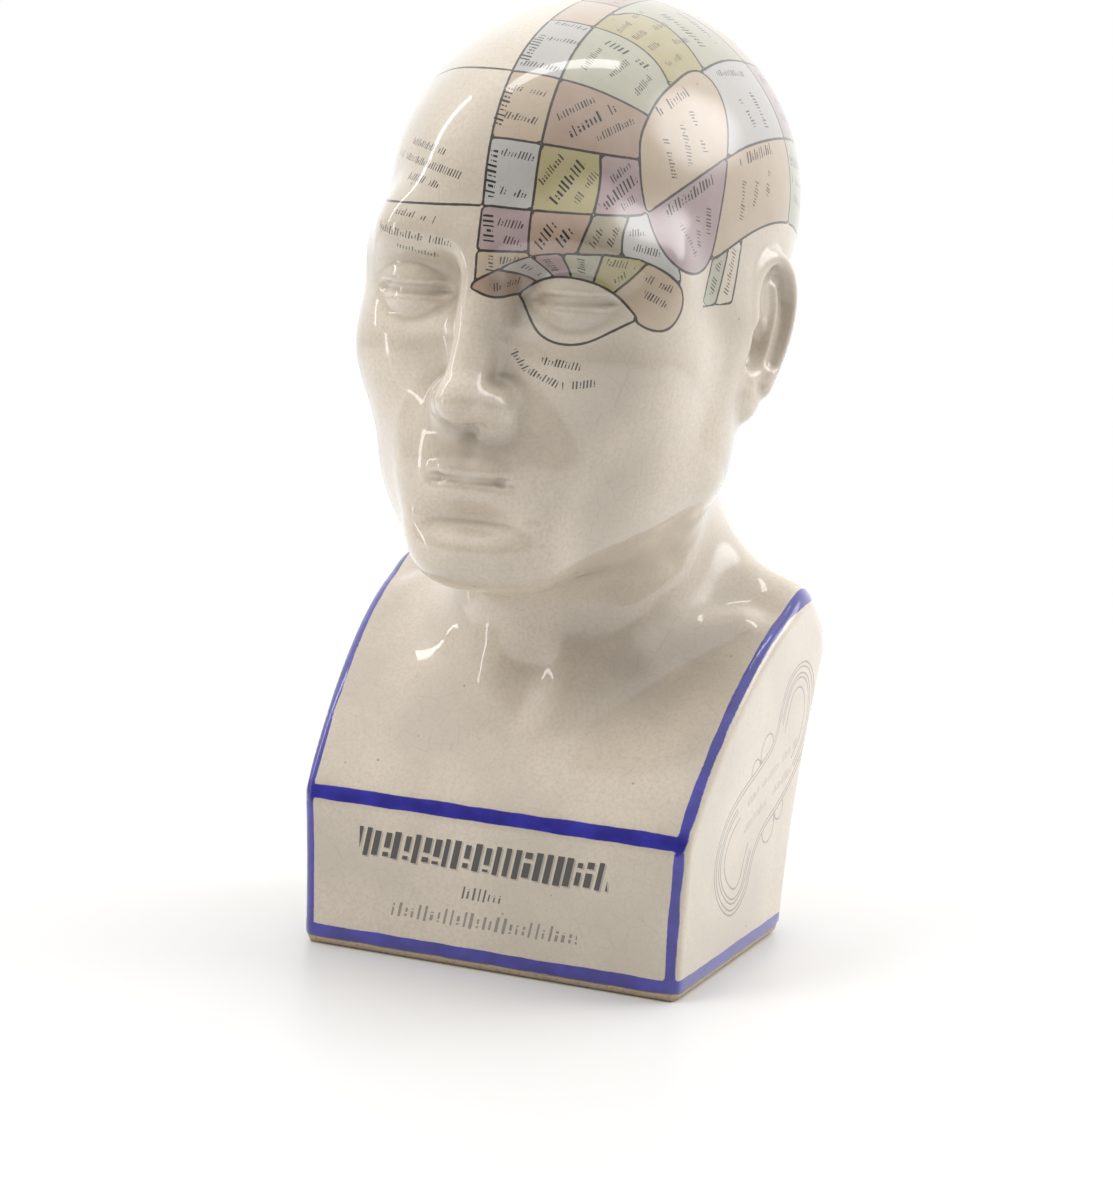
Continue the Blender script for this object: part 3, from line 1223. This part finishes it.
# Each softbox's place, aim, size and share of the key light, and whether the glaze mirrors it.
HEAD_MIDDLE = (0, 0, 0.16)
SOFTBOXES = (
    ("key softbox", (-0.62, -0.85, 0.95), HEAD_MIDDLE, (0.6, 0.6), 1.35, False),
    ("left strip", (-1.08, -0.2, 0.79), HEAD_MIDDLE, (0.07, 0.8), 0.22, True),
    ("right softbox", (0.93, 0.54, 0.83), HEAD_MIDDLE, (0.3, 0.5), 0.4, False),
    ("floor softbox", (0.35, 1.1, 0.75), (0, 0.35, 0), (1.4, 0.5), 1.2, False),
    ("low strip", (-0.98, -0.55, 0.22), HEAD_MIDDLE, (0.06, 0.5), 0.1, True),
    ("top softbox", (-0.05, 0.05, 1.2), HEAD_MIDDLE, (1.0, 0.12), 0.35, True),
)


class BUST_OT_stage(bpy.types.Operator):
    """Sets up the floor, the lights and the camera"""

    bl_idname = "bust.stage"
    bl_label = "Stage"

    def execute(self, context):
        scene = context.scene
        settings = scene.studio_settings
        shift = panel_depth(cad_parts["bust"])
        add_floor()
        add_camera(scene, settings, shift)
        add_world(scene, settings)
        for name, place, aim, size, share, in_gloss in SOFTBOXES:
            add_light(scene, name, place, aim, size, settings.key_light * share, in_gloss)
        return {"FINISHED"}


def add_floor():
    """A pale table that ends a little way behind the bust."""
    half_size = 1.5
    back_edge = 0.62
    work = bmesh.new()
    bmesh.ops.create_grid(work, x_segments=8, y_segments=8, size=half_size)
    bmesh.ops.translate(work, vec=(0, back_edge - half_size, 0), verts=work.verts)
    mesh = bpy.data.meshes.new("floor")
    work.to_mesh(mesh)
    work.free()
    floor = bpy.data.objects.new("floor", mesh)
    bpy.context.scene.collection.objects.link(floor)
    material = bpy.data.materials.new("Pale table")
    material.use_nodes = True
    shader = material.node_tree.nodes["Principled BSDF"]
    shader.inputs["Base Color"].default_value = (0.7, 0.695, 0.685, 1)
    shader.inputs["Roughness"].default_value = 0.4
    mesh.materials.append(material)


def add_camera(scene, settings, shift):
    """A long lens that looks down a little from the figure's left."""
    azimuth, elevation = settings.azimuth, settings.elevation
    back = Vector((sin(azimuth) * cos(elevation), -cos(azimuth) * cos(elevation), sin(elevation)))
    level = Vector((cos(azimuth), sin(azimuth), 0))
    upright = back.cross(level)
    right = level * cos(CAMERA_ROLL) + upright * sin(CAMERA_ROLL)
    up = upright * cos(CAMERA_ROLL) - level * sin(CAMERA_ROLL)
    aim = Vector((0, shift, AIM_HEIGHT)) + right * AIM_OFFSET[0] + up * AIM_OFFSET[1]
    place = Matrix((right, up, back)).transposed().to_4x4()
    place.translation = aim + back * settings.distance
    data = bpy.data.cameras.new("camera")
    data.sensor_width = 36
    data.lens = LENS_LENGTH
    camera = bpy.data.objects.new("camera", data)
    camera.matrix_world = place
    scene.collection.objects.link(camera)
    scene.camera = camera


def add_light(scene, name, place, aim, size, power, in_gloss):
    """A softbox. The glaze mirrors it only where it is in the gloss."""
    data = bpy.data.lights.new(name, "AREA")
    data.shape = "RECTANGLE"
    data.size, data.size_y = size
    data.energy = power
    light = bpy.data.objects.new(name, data)
    light.location = place
    light.visible_glossy = in_gloss
    light.rotation_euler = (Vector(aim) - Vector(place)).to_track_quat("-Z", "Y").to_euler()
    scene.collection.objects.link(light)


def add_world(scene, settings):
    """A white room for the camera. On the bust it glows most from above and behind, and has one window."""
    world = bpy.data.worlds.new("studio")
    world.use_nodes = True
    start = Value(world.node_tree)
    toward = start.make("TexCoord", output="Generated")
    _, back, up = toward.parts()
    share = (back * 0.8 + up).between(-0.5, 0.85)
    glow = share * (settings.room_glow - settings.front_glow) + settings.front_glow
    dot = {"operation": "DOT_PRODUCT"}
    window = toward.make("VectorMath", dot, {0: toward, 1: WINDOW_SIDE}, output="Value")
    glow = glow + window.between(0.94, 0.985) * settings.window_glow
    seen = start.make("LightPath", output="Is Camera Ray")
    background = world.node_tree.nodes["Background"]
    background.inputs["Color"].default_value = (1, 1, 1, 1)
    (seen + (1 - seen) * glow).feed(background, "Strength")
    scene.world = world
    scene.view_settings.view_transform = "Standard"


class BUST_PT_panel(bpy.types.Panel):
    """Lists the settings, and the steps in the order they are made"""

    bl_label = "Phrenology head"
    bl_idname = "BUST_PT_panel"
    bl_space_type = "VIEW_3D"
    bl_region_type = "UI"
    bl_category = "Phrenology head"

    def draw(self, context):
        scene = context.scene
        for group, settings in ((BustSettings, scene.bust_settings), (StudioSettings, scene.studio_settings)):
            for name in group.__annotations__:
                self.layout.prop(settings, name)
        for step in (BUST_OT_form, BUST_OT_finish, BUST_OT_stage):
            self.layout.operator(step.bl_idname)


CLASSES = (BustSettings, StudioSettings, BUST_OT_form, BUST_OT_finish, BUST_OT_stage, BUST_PT_panel)


def register():
    for each in CLASSES:
        bpy.utils.register_class(each)
    bpy.types.Scene.bust_settings = bpy.props.PointerProperty(type=BustSettings)
    bpy.types.Scene.studio_settings = bpy.props.PointerProperty(type=StudioSettings)


def unregister():
    del bpy.types.Scene.studio_settings
    del bpy.types.Scene.bust_settings
    for each in reversed(CLASSES):
        bpy.utils.unregister_class(each)


def main():
    register()
    bpy.ops.bust.form()
    bpy.ops.bust.finish()
    bpy.ops.bust.stage()


if __name__ == "__main__":
    main()
